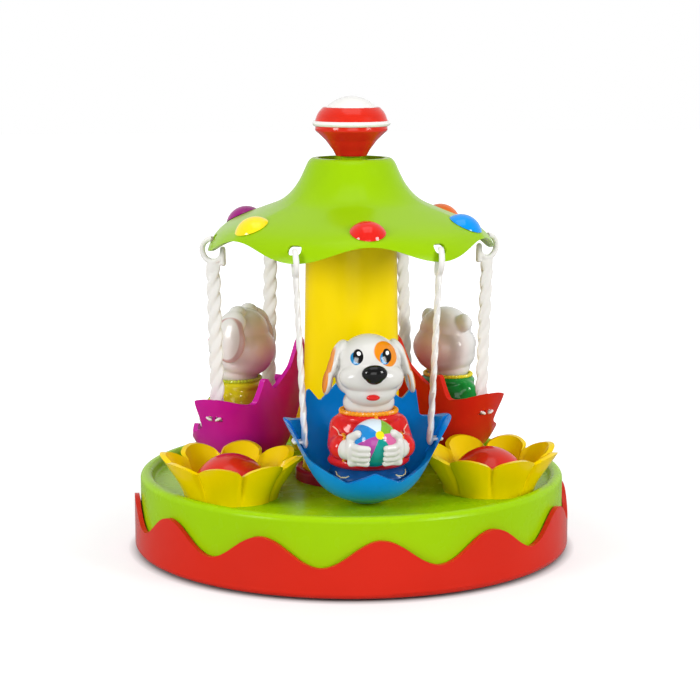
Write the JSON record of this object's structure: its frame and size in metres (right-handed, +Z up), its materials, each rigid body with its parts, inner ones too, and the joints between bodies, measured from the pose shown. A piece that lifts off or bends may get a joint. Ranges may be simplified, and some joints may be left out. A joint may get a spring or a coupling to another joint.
{
  "type": "toy merry go round",
  "caption": "Push-and-spin toy merry-go-round: a press knob turns a tub-mounted deck, with hanging tulip seats, riders and a scalloped roof.",
  "frame": {"origin": "on the surface it stands on, under the middle of the feet, on the spin axis", "axes": "+Z up along the spin axis; -Y towards the blue seat, which is the front; +X to the right of the front"},
  "size_m": [0.224, 0.224, 0.2309],
  "materials": {
    "tub_red": "gloss ABS",
    "deck_green": "gloss ABS",
    "roof_green": "gloss ABS",
    "column_yellow": "gloss ABS",
    "petal_yellow": "gloss ABS",
    "dome_red": "gloss ABS",
    "knob_red": "gloss ABS",
    "knob_white": "gloss ABS",
    "collar_red": "gloss ABS",
    "seat_blue": "gloss polypropylene",
    "seat_red": "gloss polypropylene",
    "seat_purple": "gloss polypropylene",
    "rope_white": "satin polypropylene",
    "stud_red": "polished styrene",
    "stud_blue": "polished styrene",
    "stud_orange": "polished styrene",
    "stud_green": "polished styrene",
    "stud_purple": "polished styrene",
    "stud_yellow": "polished styrene",
    "figure_white": "painted gloss ABS",
    "figure_red": "painted gloss ABS",
    "figure_green": "painted gloss ABS",
    "figure_olive": "painted gloss ABS",
    "nose_black": "painted gloss ABS",
    "ball_paint": "painted gloss ABS",
    "foot_rubber": "matt elastomer",
    "acetal": "moulded acetal",
    "dark_plastic": "moulded ABS",
    "steel": "zinc plated steel",
    "spring_steel": "drawn wire"
  },
  "bodies": {
    "base": {"base_tub": "tub_red", "base_cover": "dark_plastic", "base_feet": "foot_rubber", "base_screws": "steel", "cover_screws": "steel", "centre_post": "acetal", "thrust_washer": "steel", "rod_guide": "acetal", "return_spring": "spring_steel"},
    "carousel": {"deck": "deck_green", "lower_bush": "acetal", "column": "column_yellow", "column_foot": "collar_red", "column_screws": "steel", "upper_bush": "acetal", "ratchet_ring": "acetal", "clutch_cap": "acetal", "canopy": "roof_green", "canopy_screws": "steel", "flower_screws": "steel", "stud_red": "stud_red", "stud_blue": "stud_blue", "stud_orange": "stud_orange", "stud_green": "stud_green", "stud_purple": "stud_purple", "stud_yellow": "stud_yellow", "flower_left": "petal_yellow", "flower_right": "petal_yellow", "flower_back": "petal_yellow", "flower_dome_left": "dome_red", "flower_dome_right": "dome_red", "flower_dome_back": "dome_red"},
    "knob": {"knob_lower": "knob_red", "knob_ring": "knob_white", "knob_upper": "knob_red", "knob_cap": "knob_white", "drive_rod": "steel"},
    "drive_nut": {"drive_nut": "acetal"},
    "swing_blue": {"seat_blue": "seat_blue", "rope_blue_left": "rope_white", "rope_blue_right": "rope_white", "dog_head": "figure_white", "dog_body": "figure_red", "dog_nose": "nose_black", "dog_ball": "ball_paint"},
    "swing_red": {"seat_red": "seat_red", "rope_red_left": "rope_white", "rope_red_right": "rope_white", "bear_head": "figure_white", "bear_body": "figure_green"},
    "swing_purple": {"seat_purple": "seat_purple", "rope_purple_left": "rope_white", "rope_purple_right": "rope_white", "bunny_head": "figure_white", "bunny_body": "figure_olive"}
  },
  "joints": [
    {"name": "carousel_spin", "type": "hinge", "parent": "base", "child": "carousel", "pos_m": [0, 0, 0.035], "axis": [0, 0, 1], "continuous": true},
    {"name": "knob_press", "type": "slide", "parent": "base", "child": "knob", "axis": [0, 0, -1], "range_m": [0, 0.012], "stiffness_N_per_m": 400, "springref_m": -0.006, "deforming": ["return_spring"]},
    {"name": "nut_turn", "type": "hinge", "parent": "base", "child": "drive_nut", "pos_m": [0, 0, 0.152], "axis": [0, 0, 1], "range_deg": [0, 181]},
    {"name": "seat_blue_swing", "type": "hinge", "parent": "carousel", "child": "swing_blue", "pos_m": [0, -0.0615, 0.1539], "axis": [-1, 0, 0], "range_deg": [-3, 40]},
    {"name": "seat_red_swing", "type": "hinge", "parent": "carousel", "child": "swing_red", "pos_m": [0.05326, 0.03075, 0.1539], "axis": [0.5, -0.866, 0], "range_deg": [-3, 40]},
    {"name": "seat_purple_swing", "type": "hinge", "parent": "carousel", "child": "swing_purple", "pos_m": [-0.05326, 0.03075, 0.1539], "axis": [0.5, 0.866, 0], "range_deg": [-3, 40]}
  ],
  "couplings": [
    {"joint": "nut_turn", "follows": "knob_press", "rad_per_m": 261.8}
  ]
}
